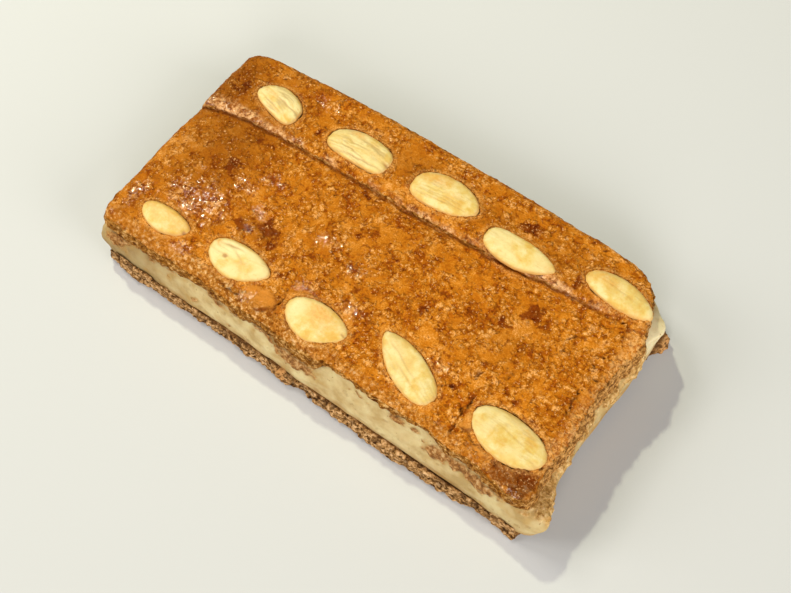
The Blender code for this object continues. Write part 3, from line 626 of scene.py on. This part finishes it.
def glazeMaterial():
    material, tree, shader, coords = newMaterial("glazed_crust")
    look, share, depth = glazeLook, glazeLook["shares"], glazeLook["reliefs"]

    def grained(name):
        return grain(tree, coords, *look["grains"][name])

    def patched(name):
        return patches(tree, coords, *look["patches"][name])

    mottle, fine, soft, wide = map(grained, ("mottle", "fine", "soft", "wide"))
    rough = calc(tree, "MAXIMUM", patched("rough"), mask(tree, "crumbly"))  # 1 between smooth plates
    rough = times(tree, rough, fade(tree, mask(tree, "flap"), 1.0, 0.3))
    contrast = times(tree, fade(tree, rough, *look["contrast"]["rough"]),
                     fade(tree, mask(tree, "brown"), *look["contrast"]["brown"]),
                     fade(tree, mask(tree, "gloss"), *look["contrast"]["gloss"]))

    # broken plates and crumbs, with clefts and pits that are open only here and there
    torn = shifted(tree, coords, *look["tear"])
    plate = centred(tree, cells(tree, torn, look["plateSize"], "F1", "Color"))
    crumb = centred(tree, cells(tree, torn, look["crumbSize"], "F1", "Color"))
    dome = domes(tree, torn, look["crumbSize"])
    plateGap = spread(tree, cells(tree, torn, look["plateSize"]), *look["plateGap"])
    crumbGap = spread(tree, cells(tree, torn, look["crumbSize"]), *look["crumbGap"])
    cleft = times(tree, plateGap, patched("openPlates"))
    for gap in (times(tree, crumbGap, patched("openCrumbs"), rough, look["opened"]),
                times(tree, patched("pits"), rough),
                times(tree, patched("scorch"), look["scorched"])):
        cleft = calc(tree, "MAXIMUM", cleft, gap)

    # the baked dough's own tone
    lumpy = {"plate": plate, "crumb": times(tree, crumb, rough), "dome": times(tree, dome, rough)}
    patterns = {"soft": centred(tree, soft), "mottle": centred(tree, mottle),
                "fine": centred(tree, fine)}
    tone = times(tree, mixed(tree, patterns | lumpy, look["tone"]), contrast)
    tone = plus(tree, tone, look["middle"], times(tree, wide, look["wide"]))
    colour = shades(tree, tone, look["shades"])
    colour = layer(tree, mask(tree, "brown"), colour, look["brown"], "MULTIPLY")
    colour = layer(tree, masked(tree, look, "gloss"), colour, look["wet"], "MULTIPLY")

    def ragged(amount):
        # a soft mask gets the broken outline of the grain
        offset = times(tree, centred(tree, mottle), look["raggedBy"])
        return spread(tree, calc(tree, "SUBTRACT", amount, offset), 0.35, 0.65)

    colour = layer(tree, times(tree, ragged(mask(tree, "dark")), share["dark"]),
                   colour, look["darken"], "MULTIPLY")
    # the clefts get the dark line colour: partly browner dough and scorched spots, partly painted
    # shade in the gaps and pits
    colour = layers(tree, colour, (times(tree, cleft, share["cleft"]), look["line"]),
                    # pale specks on the rough crumb: painted glints
                    (times(tree, patched("grit"), rough, share["grit"]), look["grit"]))

    # crumb, flaps, rims, lip, fold, side and cracks over it
    crumbTone = brokenCrumb(tree, stretched(tree, coords, (1, 1, 1.5)), 1.5)
    smooth = spread(tree, mottle, 0.40, 0.54, 0.45, 1.0)
    pale = spread(tree, fine, 0.42, 0.58, 0.2, 1.0)
    flaky = spread(tree, mottle, 0.42, 0.56, 0.2, 1.0)
    flake = layer(tree, spread(tree, crumbTone, 0.42, 0.58), look["lip"], look["lipPale"])
    # painted shade in the darker gaps between the lip's flakes
    underFlakes = spread(tree, crumbTone, 0.46, 0.38)
    rimCrumb = spread(tree, crumbTone, 0.42, 0.56, 0.15, 1.0)
    colour = layers(
        tree, colour,
        (masked(tree, look, "shoulder"), shades(tree, crumbTone, look["shoulderShades"])),
        (masked(tree, look, "flap", smooth), look["flap"]),
        # painted shadow along one side of each flap
        (masked(tree, look, "flapEdge"), look["line"]),
        # painted highlight along the raised dough rim round the almond halves
        (masked(tree, look, "rimLight", pale), look["rimTan"]),
        (times(tree, mask(tree, "lip"), flaky), flake),
        (masked(tree, look, "lip", underFlakes), look["line"]),
        # painted shade in the fold
        (masked(tree, look, "fold"), look["fold"]),
        (ragged(mask(tree, "side")), shades(tree, crumbTone, look["sideShades"])),
        (masked(tree, look, "edge", rimCrumb), look["edgeTan"]),
        # painted shade in the cracks and pits
        (masked(tree, look, "deep"), look["crack"]))

    # the glaze, a thin film that breaks up over the crumb
    wet = calc(tree, "SUBTRACT", mask(tree, "gloss"), mask(tree, "side"))
    broken = times(tree, centred(tree, grained("film")), look["filmBreak"])
    film = spread(tree, plus(tree, wet, broken), *look["filmEdge"])
    film = times(tree, film, calc(tree, "SUBTRACT", 1.0, cleft), patched("film"))
    feed(tree, shader, {"Base Color": colour, "Coat Weight": film, **look["shader"]})

    relief = times(tree, mottle, fade(tree, rough, 0.5, 1.0))
    step = mixed(tree, lumpy, look["stepParts"])
    outer = calc(tree, "MAXIMUM", mask(tree, "side"), mask(tree, "shoulder"))
    bumped(tree, shader, [
        (relief, *depth["mottle"]), (step, *depth["steps"]), (fine, *depth["fine"]),
        (times(tree, cleft, -1.0), *depth["cleft"]),
        (times(tree, crumbTone, outer), *depth["crumb"])])
    bumped(tree, shader, [(grained(name), *depth[name]) for name in ("coat", "coatFine")],
           "Coat Normal")
    return material


# Almond paste

paste = {
    "voxel": 0.55,
    "smoothing": 3,
    "inner": (80, 34, 2),
    "relief": [(0.24, 6.5, 71, (1, 1, 1.5)), (0.09, 2.6, 72, (0.6, 0.6, 1.6)), (0.03, 1.2, 73)],
    "ragged": [(0.22, 2.0, 76), (0.10, 1.1, 78)],  # the smears' outline
    "dentDepth": 0.20, "smearHeight": 0.50,
    "footHalf": (91.0, 46.0), "footOut": 0.7, "footDown": 0.35,
    # where a change begins and is complete, along x, y or z
    "front": (-34, -39), "end": (84, 88), "frontLedge": (-41.5, -43.0), "endLedge": (86.5, 88.0),
    "foot": (7.2, 5.8), "brownFoot": (8.2, 5.6), "toastedLeft": (-42, -78), "toastedRight": (50, 80),
    "freshEnd": (85, 88), "freshBack": (20, 25),
    "smears": [  # brown crumb dragged over the front, with its height as the second figure
        (0.0, 16.2, 8.0, 3.8, -5, 1.4), (-8.5, 15.5, 1.6, 3.6, 15, 1.0), (-14, 18.5, 5, 2.0, 0, 1.0),
        (41, 19.5, 3.4, 2.6, 0, 1.0), (57, 16.5, 5.0, 3.4, 0, 1.1), (49, 20.0, 2.2, 1.4, 0, 0.7),
        (-32, 19.5, 9, 2.2, 0, 1.0), (-46, 12.0, 2.4, 1.2, 10, 0.9), (-58, 13.5, 1.2, 1.0, 0, 0.7),
        (-30, 9.5, 1.6, 1.2, 0, 0.9), (-23, 8.5, 1.2, 1.0, 0, 0.5), (-66, 19.0, 16, 3.0, 0, 1.1),
        (-83, 16.5, 6, 5.5, 0, 1.2), (22, 18.5, 1.5, 0.7, 0, 0.5), (26, 19.5, 2.4, 0.8, 0, 0.6),
        (30, 18.0, 1.4, 0.6, 0, 0.5), (52, 17.5, 1.4, 0.7, 0, 0.6), (74, 16.0, 7.0, 2.8, -6, 1.1),
        (84, 18.5, 7.5, 3.4, 0, 1.1), (76, 7.2, 2.2, 0.9, 0, 0.5), (-6, 7.5, 1.6, 2.0, 20, 0.5),
        (64, 17.8, 8.0, 2.4, 0, 1.0),
    ],
    "endSmears": [  # tan crumb on the right end, in which the first figure is y
        (-33, 17.0, 8, 7.0, 0, 1.4), (-36.5, 12.5, 1.8, 2.0, 0, 0.9), (-20, 14.5, 7, 5.5, 0, 1.1),
        (-6, 13.5, 7, 5.0, 0, 1.0), (8, 13.5, 7, 5.0, 0, 1.0), (20, 14.5, 6, 5.5, 0, 1.2),
    ],
}


def dents(points):
    return rise(0.75, 0.95, lumps(points, 2.2, 74))


def makePaste():
    piece = copyNode("almond_paste", "almond_paste_filling")
    remeshFine(piece, paste["voxel"], paste["smoothing"])
    closeHidden(piece, paste["inner"], lambda c, n: np.abs(n[:, 2]) > 0.8)
    points, normals = readPoints(piece), readNormals(piece)
    x, y, z = points.T
    outer = rise(0.75, 0.45, np.abs(normals[:, 2]))
    ledge = np.max([outer, rise(*paste["frontLedge"], y), rise(*paste["endLedge"], np.abs(x))], axis=0)
    smear = spots(points[:, [0, 2, 1]], paste["smears"], 1.0) * rise(*paste["front"], y)
    tan = spots(points[:, [1, 2, 0]], paste["endSmears"], 1.0) * rise(*paste["end"], x)
    halo = rise(0.05, 0.55, np.maximum(smear, tan) + 0.35 * lumps(points, 3.2, 79))
    ragged = waves(points, paste["ragged"])
    smear, tan = rise(0.30, 0.65, smear + ragged), rise(0.30, 0.65, tan + ragged)
    height = waves(points, paste["relief"])
    height -= paste["dentDepth"] * dents(points)
    height += np.maximum(smear, tan) * (paste["smearHeight"] + 0.40 * lumps(points, 1.5, 75))

    # the foot stays smooth, spreads and settles on the bottom crust
    foot = rise(*paste["foot"], z)
    outward = points[:, :2] / paste["footHalf"]
    outward = np.where(np.abs(outward) > 0.9, np.sign(outward), 0)
    height = np.where(foot > 0.3, 0, height)
    points = points + normals * (outer * height)[:, None]
    points[:, :2] += paste["footOut"] * outward * foot[:, None]
    points[:, 2] -= paste["footDown"] * foot
    writePoints(piece, points)

    x, y, z = points.T
    storeMasks(
        piece,
        smear=smear * ledge, tan=tan * ledge, halo=halo * ledge,
        # painted shade, darker towards the paste's foot where it meets the bottom crust
        low=rise(*paste["brownFoot"], z + 0.7 * lumps(points, 4.0, 77)),
        # darker towards the left end, a little towards the right end
        toasted=np.maximum(rise(*paste["toastedLeft"], x), 0.2 * rise(*paste["toastedRight"], x)),
        dent=dents(points) * outer,
        # painted light: the corner lump is made paler where the lamps leave it in shade
        fresh=rise(*paste["freshEnd"], x) * rise(*paste["freshBack"], y))  # the broken corner
    return piece


pasteLook = {
    "cream": (0.575, 0.425, 0.195), "creamPale": (0.66, 0.53, 0.265), "creamDark": (0.47, 0.32, 0.125),
    "speck": (0.30, 0.17, 0.05), "fresh": (0.82, 0.71, 0.43),
    "smearShades": [
        (0.37, (0.14, 0.043, 0.006)), (0.45, (0.29, 0.108, 0.021)), (0.52, (0.44, 0.200, 0.054)),
        (0.62, (0.67, 0.42, 0.185))],
    "tanShades": [
        (0.37, (0.32, 0.140, 0.025)), (0.46, (0.56, 0.300, 0.080)), (0.53, (0.72, 0.43, 0.150)),
        (0.62, (0.92, 0.66, 0.32))],
    # foot is painted shade at the bottom of the paste
    "toasted": (0.60, 0.53, 0.46), "foot": (0.36, 0.185, 0.055), "halo": (0.46, 0.27, 0.075),
    "shares": {"fresh": 0.7, "dent": 0.35, "low": 0.75, "halo": 0.60, "smear": 0.92, "tan": 0.88},
    "grains": {  # size in millimetres, detail, roughness
        "soft": (7.0, 3.0, 0.55), "fine": (1.0, 3.0, 0.6), "skin": (0.45, 2.0, 0.55)},
    "speckles": (1.5, 1.0, 0.5, 0.73, 0.77, 0, 0.7), "crumbSize": 1.5,
    "fineDark": (0.54, 0.68, 0, 0.22), "sheen": (0.3, 0.7, 0.48, 0.70),
    "shader": {"Specular IOR Level": 0.10, "Subsurface Weight": 0.15,
               "Subsurface Radius": (1.0, 0.6, 0.3), "Subsurface Scale": 0.0015},
    "reliefs": {"crumb": (1.0, 0.7), "fine": (0.35, 0.12), "skin": (0.3, 0.05)},
}


def pasteMaterial():
    material, tree, shader, coords = newMaterial("almond_paste")
    look, depth = pasteLook, pasteLook["reliefs"]
    soft, fine, skin = (grain(tree, coords, *settings) for settings in look["grains"].values())
    crumb = brokenCrumb(tree, coords, look["crumbSize"])
    colour = shades(tree, soft, [
        (0.34, look["creamDark"]), (0.46, look["cream"]), (0.64, look["creamPale"])])
    colour = layer(tree, mask(tree, "toasted"), colour, look["toasted"], "MULTIPLY")
    colour = layers(
        tree, colour,
        # painted light on the corner lump
        (masked(tree, look, "fresh"), look["fresh"]),
        (spread(tree, fine, *look["fineDark"]), look["creamDark"]),
        (patches(tree, coords, *look["speckles"]), look["speck"]),
        (masked(tree, look, "dent"), look["speck"]),
        # painted shade at the paste's foot
        (masked(tree, look, "low"), look["foot"]),
        (masked(tree, look, "halo"), look["halo"]),
        (masked(tree, look, "smear"), shades(tree, crumb, look["smearShades"])),
        (masked(tree, look, "tan"), shades(tree, crumb, look["tanShades"])))
    feed(tree, shader, {
        "Base Color": colour, "Roughness": spread(tree, fine, *look["sheen"]), **look["shader"]})
    crumbs = times(tree, crumb, calc(tree, "MAXIMUM", mask(tree, "smear"), mask(tree, "tan")))
    bumped(tree, shader, [(crumbs, *depth["crumb"]), (fine, *depth["fine"]), (skin, *depth["skin"])])
    return material


# Bottom crust

base = {
    "voxel": 0.42,
    "smoothing": 1,
    "inner": (85, 41, 0),
    "relief": [(0.34, 3.0, 91, (1, 1, 1.4)), (0.30, 1.3, 92)],
    "knobHeight": 0.35, "poreDepth": 0.55,
    "pasteFoot": (-90.4, 91.0, -44.7, 46.8),  # its left, right, front and back edge
    "tabEnd": (91.0, 93.0), "tabBack": (18, 23),  # where the broken tab begins, along x and y
    "stuck": [(-6.8, 3.6, 3.0, 2.1, 0, 1.2)], "stuckHeight": 0.7,  # a crumb on the front
    "lift": [  # x, and how far the front edge turns up there
        (-96, 3.0), (-80, 3.0), (-62, 2.0), (-50, 0.8), (-30, 0.1), (20, 0.1), (50, 0.6), (70, 1.6),
        (85, 2.2), (95, 1.8)],
}


def makeBase():
    piece = copyNode("bottom_crust", "bottom_crust_crumb")
    remeshFine(piece, base["voxel"], base["smoothing"])
    closeHidden(piece, base["inner"], lambda c, n: np.abs(n[:, 2]) > 0.8)
    points, normals = readPoints(piece), readNormals(piece)
    outer = rise(0.85, 0.5, np.abs(normals[:, 2]))
    edge = rise(0.3, 0.6, normals[:, 2]) * (1 - rise(0.0, 1.0, 3.5 - points[:, 2]))
    height = waves(points, base["relief"])
    # the pores are sunk, and also get painted shade
    pores = rise(0.26, 0.50, lumps(points, 1.6, 93, (0.7, 0.7, 1.4)))
    knobs = rise(0.0, 0.5, lumps(points, 1.8, 94))
    height += base["knobHeight"] * knobs - base["poreDepth"] * pores
    stuck = spots(points[:, [0, 2, 1]], base["stuck"], 0.4) * (points[:, 1] < -40)
    push = (outer + edge * 0.6).clip(0, 1) * (height + base["stuckHeight"] * stuck)
    points = points + normals * push[:, None]
    x, y, z = points.T
    lift = np.interp(x, *zip(*base["lift"])) * (1 + 0.3 * lumps(points * (1, 0, 0), 4.0, 96))
    points[:, 2] += lift * rise(-44.6, -45.6, y) * rise(3.0, 5.0, z)
    points[:, 2] = np.maximum(points[:, 2], 0.0)  # the underside stays flat
    writePoints(piece, points)

    left, right, front, back = base["pasteFoot"]
    beyond = np.max([front - y, y - back, x - right, left - x], axis=0)
    # painted light on the broken tab, which the key lamp leaves in shade; the crumb stuck on the front
    # gets the same paler colour
    tab = rise(*base["tabEnd"], x) * rise(*base["tabBack"], y)
    storeMasks(
        # under: painted shade, darker towards the bottom
        piece, pore=pores, under=rise(1.6, 0.2, z),
        # painted shade along the paste's foot
        seam=rise(1.1, 0.3, beyond + 0.3 * lumps(points, 2.0, 95)),
        tab=np.maximum(tab, rise(0.3, 0.6, stuck)))
    return piece


baseLook = {
    "shades": [
        (0.38, (0.060, 0.022, 0.005)), (0.44, (0.25, 0.117, 0.031)), (0.51, (0.49, 0.252, 0.083)),
        (0.60, (0.82, 0.51, 0.245))],
    # seam, under and pore are painted shade: along the paste's foot, at the bottom and in the pores
    "pore": (0.050, 0.017, 0.004), "seam": (0.17, 0.070, 0.018), "under": (0.12, 0.050, 0.015),
    "tab": (0.64, 0.31, 0.10),
    "shares": {"seam": 0.75, "under": 0.15, "pore": 0.55},
    "squeeze": (0.65, 0.65, 1.3), "crumbSize": 1.0, "fine": (0.6, 3.0, 0.7),
    "shader": {"Roughness": 0.80, "Specular IOR Level": 0.10},
    "reliefs": {"crumb": (1.0, 0.8), "fine": (0.8, 0.20)},
}


def baseMaterial():
    material, tree, shader, coords = newMaterial("bottom_crust")
    look, depth = baseLook, baseLook["reliefs"]
    fine = grain(tree, coords, *look["fine"])
    crumb = brokenCrumb(tree, stretched(tree, coords, look["squeeze"]), look["crumbSize"])
    crumbly = spread(tree, crumb, 0.40, 0.54, 0.2, 0.9)
    colour = layers(
        tree, shades(tree, crumb, look["shades"]),
        # painted shade at the seam, the bottom and the pores
        *((masked(tree, look, name), look[name]) for name in ("seam", "under", "pore")),
        # painted light on the tab, and the stuck crumb's paler colour
        (times(tree, mask(tree, "tab"), crumbly), look["tab"]))
    feed(tree, shader, {"Base Color": colour, **look["shader"]})
    bumped(tree, shader, [(crumb, *depth["crumb"]), (fine, *depth["fine"])])
    return material


# Almond halves

almondLooks = [
    # strength of the grain, the tan edge and the pale middle; places that are stained, scarred or
    # pale in flat facets; ends that are broken off, as a place and the way it faces
    {"grain": 1.0, "tan": 0.25, "pale": 0.9,
     "stains": [(-72, 32, 5, 1.2, -14, 0.5), (-64, 27, 6, 0.9, -14, 0.5)],
     "scars": [(-62, 30.2, 6, 0.35, -12, 0.8), (-70, 28.6, 4, 0.3, -14, 0.8)],
     "chips": [((-56.8, 26.4), (0.99, 0.16))]},
    {"grain": 0.9, "tan": 0.45, "pale": 0.6,
     "stains": [(-34, 35.3, 3.5, 1.4, 0, 0.9), (-24, 31, 4, 1.5, 0, 0.4)],
     "scars": [(-27, 26.5, 9, 0.35, 3, 0.9), (-33, 28.5, 5, 0.3, -5, 0.7),
               (-17.6, 30.2, 1.6, 0.5, 0, 1.2)]},
    {"grain": 0.6, "tan": 0.75, "pale": 0.1,
     "stains": [(0, 36, 7, 2.6, 8, 0.9), (9, 33, 5, 1.5, 5, 0.4)],
     "scars": [(8, 29, 8, 0.3, 8, 0.5)]},
    {"grain": 0.35, "tan": 0.10, "pale": 0.8, "stains": [(52, 28.5, 3, 3, 0, 0.4)]},
    {"grain": 0.35, "tan": 0.65, "pale": 0.1,
     "stains": [(68, 36, 6, 2.4, -8, 0.8), (84, 30, 4, 2, -10, 0.4)],
     "scars": [(74, 34.5, 7, 0.3, -4, 0.4)]},
    {"grain": 0.25, "tan": 1.0, "pale": 0.0,
     "stains": [(-66, -27.5, 7, 2.4, 0, 0.6), (-63, -29, 13, 6, 0, 0.5)],
     "scars": [(-58.6, -31.2, 0.8, 0.8, 0, 1.2)]},
    {"grain": 0.45, "tan": 0.20, "pale": 1.0,
     "stains": [(-45.5, -26.8, 1.8, 1.0, 0, 0.9), (-31, -30, 5, 3, 0, 0.3)],
     "scars": [(-40, -30, 0.8, 0.7, 0, 1.8), (-40, -25.6, 4.5, 0.35, 8, 0.9),
               (-36, -27.6, 3, 0.3, -30, 0.6)]},
    {"grain": 0.25, "tan": 0.45, "pale": 0.0,
     "stains": [(1.0, -28.4, 6.0, 3.2, 0, 1.3), (6, -30, 8, 5, 0, 0.5)],
     "scars": [(11.4, -30.2, 1.0, 0.4, 0, 1.0)], "facets": [(-7.5, -30.5, 3.2, 5.0, 0, 1.1)]},
    {"grain": 0.55, "tan": 0.30, "pale": 0.3, "stains": [(30, -24.5, 6, 1.4, -24, 0.4)],
     "scars": [(34, -26.8, 10, 0.3, -24, 0.45), (37, -30.4, 7, 0.3, -24, 0.45)]},
    {"grain": 0.50, "tan": 0.40, "pale": 0.5,
     "stains": [(69, -30, 4, 2.2, 10, 0.3), (80, -24, 5, 2, -15, 0.4), (76, -32, 4, 1.2, 0, 0.2)],
     "scars": [(76, -27, 8, 0.3, -8, 0.4)]},
]
almondShape = {
    "voxel": 0.34, "smoothing": 3,
    "grainLength": 12.0, "grainWidth": 1.9, "grooveDepth": 0.14, "scarDepth": 0.30,
}


def makeAlmond(number, almond, look):
    piece = copyNode(f"almond_{number:02d}", f"blanched_half_{number:02d}")
    stains, scarred, facets, chips = (
        look.get(key, []) for key in ("stains", "scars", "facets", "chips"))
    selectOnly(piece)
    for (x, y), (nx, ny) in chips:
        setMode("EDIT")
        bpy.ops.mesh.select_all(action="SELECT")
        place = (Vector((x, y, 0)) - Vector(slab["middle"])) * millimetre
        bpy.ops.mesh.bisect(plane_co=place, plane_no=(nx, ny, 0), use_fill=True, clear_outer=True)
        setMode("OBJECT")
    remeshFine(piece, almondShape["voxel"], almondShape["smoothing"])
    points, normals = readPoints(piece), readNormals(piece)
    along, across, outside = onAlmond(points, almond)
    top = rise(0.1, 0.5, normals[:, 2])

    # the grain runs lengthwise and differs from one almond half to the next
    sweep = across + waves(points, [(0.5, 6.0, 100 + number), (0.2, 2.0, 105 + number)])
    streaks = np.stack([along / almondShape["grainLength"], sweep, 0 * along + number * 5.3], axis=1)
    width = almondShape["grainWidth"]
    fineGroove = creases(streaks * (1, 1.9, 1), width, 4, 0.22)
    groove = np.maximum(creases(streaks, width, 3), 0.8 * fineGroove)
    grainLight = lumps(streaks, 1.1, 5)
    patchy = rise(-0.4, 0.4, lumps(points, 6.0, 120 + number))
    scars = spots(points, scarred, 0.3)
    height = waves(points, [(0.08, 4.5, 110 + number), (0.03, 1.4, 130 + number)])
    height += look["grain"] * (0.03 * grainLight - almondShape["grooveDepth"] * groove * patchy)
    height -= almondShape["scarDepth"] * np.minimum(scars, 1)
    points = points + normals * (height * (0.3 + 0.7 * top))[:, None]
    writePoints(piece, points)

    rim = rise(-1.8, -0.1, outside)
    pale = look["pale"] * (1 - rim) * rise(-0.5, 0.3, lumps(points, 7.0, 150 + number))
    storeMasks(
        piece,
        groove=groove * patchy * look["grain"] * top,
        streak=0.5 + 0.5 * look["grain"] * grainLight,
        tan=look["tan"] * rim * rise(0.6, -0.4, lumps(points, 9.0, 140 + number)),
        stain=spots(points, stains, 0.8), scar=scars,
        pale=np.maximum(pale, spots(points, facets, 0.8)),
        wall=rise(0.75, 0.35, normals[:, 2]))
    return piece


nutLook = {
    "cream": (0.67, 0.462, 0.116), "pale": (0.74, 0.592, 0.262), "deep": (0.64, 0.385, 0.080),
    "tan": (0.68, 0.32, 0.055), "line": (0.46, 0.30, 0.11), "scar": (0.36, 0.15, 0.04),
    "wall": (0.72, 0.42, 0.12),
    "shares": {"groove": 0.80, "scar": 0.75},
    "soft": (4.0, 4.0, 0.6), "speck": (0.9, 3.0, 0.7),  # size in millimetres, detail, roughness
    "lightStreaks": (0.52, 0.85, 0, 0.5), "darkStreaks": (0.48, 0.15, 0, 0.5),
    "specks": (0.57, 0.68, 0, 0.35), "sheen": (0.3, 0.7, 0.38, 0.55),
    "shader": {"Specular IOR Level": 0.30, "Subsurface Weight": 0.06,
               "Subsurface Radius": (1.0, 0.7, 0.35), "Subsurface Scale": 0.0010},
    "reliefs": {"soft": (0.6, 0.5), "speck": (0.4, 0.15)},
}


def almondMaterial():
    material, tree, shader, coords = newMaterial("blanched_almond")
    look, depth = nutLook, nutLook["reliefs"]
    soft, speck = grain(tree, coords, *look["soft"]), grain(tree, coords, *look["speck"])
    colour = shades(tree, soft, [(0.37, look["deep"]), (0.46, look["cream"]), (0.62, look["pale"])])
    streak = mask(tree, "streak")
    worn = spread(tree, soft, 0.42, 0.58, 0.5, 1.0)
    blotched = spread(tree, speck, 0.4, 0.6, 0.5, 0.9)
    colour = layers(
        tree, colour,
        (mask(tree, "pale"), look["pale"]),
        (spread(tree, streak, *look["lightStreaks"]), look["pale"]),
        (spread(tree, streak, *look["darkStreaks"]), look["deep"]),
        (times(tree, mask(tree, "tan"), worn), look["tan"]),
        (times(tree, mask(tree, "stain"), blotched), look["tan"]),
        (spread(tree, speck, *look["specks"]), look["tan"]),
        (masked(tree, look, "groove"), look["line"]),
        (mask(tree, "wall"), look["wall"]),
        (masked(tree, look, "scar"), look["scar"]))
    feed(tree, shader, {
        "Base Color": colour, "Roughness": spread(tree, soft, *look["sheen"]), **look["shader"]})
    bumped(tree, shader, [(soft, *depth["soft"]), (speck, *depth["speck"])])
    return material


# The slab put together

def finishPiece(piece, material, slotName, *nodeNames):
    piece.data.materials.append(material)
    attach(piece, "root")
    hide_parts(*nodeNames)


finishPiece(makeBase(), baseMaterial(), "bottom_crust", "bottom_crust")
print("bottom crust made")
finishPiece(makePaste(), pasteMaterial(), "almond_paste", "almond_paste")
print("almond paste made")
finishPiece(makeCrust(), glazeMaterial(), "glazed_crust", "top_crust")
print("top crust made")
nutMaterial = almondMaterial()
for number, (almond, look) in enumerate(zip(almonds, almondLooks), start=1):
    finishPiece(makeAlmond(number, almond, look), nutMaterial,
                "blanched_almond", f"almond_{number:02d}")
print("almond halves made")


# Floor, light and camera

studio = {
    "floor": (0.55, 0.545, 0.535), "floorSize": 12.0, "floorRoughness": 0.8,
    "world": (1.0, 0.97, 0.93), "worldStrength": 0.12,
    "aim": (0, 0, 0.02),  # where the lamps point
    "lamps": [  # name, place in metres, size, watts, colour
        ("keyLamp", (-0.84, 0.10, 1.00), 0.35, 5.6, (1.0, 0.97, 0.90)),
        ("glintLamp", (-0.62, 0.36, 0.98), 0.05, 6.8, (0.96, 1.0, 0.72)),
        ("leftLamp", (-1.50, -0.95, 1.15), 1.00, 20.0, (1.0, 0.98, 0.95)),
        ("frontLamp", (0.95, -1.55, 1.00), 1.00, 26.0, (1.0, 0.99, 0.97)),
        ("rightLamp", (1.80, 0.00, 0.85), 1.00, 22.0, (1.0, 0.99, 0.97)),
    ],
    "camera": {"at": (0.15740, -0.14958, 0.38438), "azimuth": 45.675, "elevation": 60.734,
               "roll": -9.22, "lens": 56.89, "sensor": 36.0, "clipStart": 0.01},
}


def makeStudio():
    bpy.ops.object.select_all(action="DESELECT")
    bpy.ops.mesh.primitive_plane_add(size=studio["floorSize"], location=(0, 0, 0))
    floor = bpy.context.object
    floor.name = "floor"
    material, tree, shader, _ = newMaterial("floor")
    feed(tree, shader, {"Base Color": (*studio["floor"], 1.0), "Roughness": studio["floorRoughness"]})
    floor.data.materials.append(material)
    world = bpy.data.worlds.new("studio")
    world.use_nodes = True
    feed(world.node_tree, world.node_tree.nodes["Background"], {
        "Color": (*studio["world"], 1.0), "Strength": studio["worldStrength"]})
    bpy.context.scene.world = world
    for name, place, size, power, colour in studio["lamps"]:
        bpy.ops.object.light_add(type="AREA", location=place)
        lamp = bpy.context.object
        lamp.name = name
        ray = Vector(studio["aim"]) - Vector(place)
        lamp.rotation_euler = ray.to_track_quat("-Z", "Y").to_euler()
        lamp.data.size = size
        lamp.data.energy = power
        lamp.data.color = colour


def makeCamera():
    view = studio["camera"]
    bpy.ops.object.camera_add(location=view["at"])
    camera = bpy.context.object
    turn = (Matrix.Rotation(math.radians(view["azimuth"]), 3, "Z")
            @ Matrix.Rotation(math.radians(90 - view["elevation"]), 3, "X")
            @ Matrix.Rotation(math.radians(view["roll"]), 3, "Z"))
    camera.rotation_euler = turn.to_euler()
    camera.data.lens = view["lens"]
    camera.data.sensor_width = view["sensor"]
    camera.data.clip_start = view["clipStart"]
    bpy.context.scene.camera = camera


makeStudio()
makeCamera()
bpy.context.scene.view_settings.view_transform = "Standard"
print("studio made")
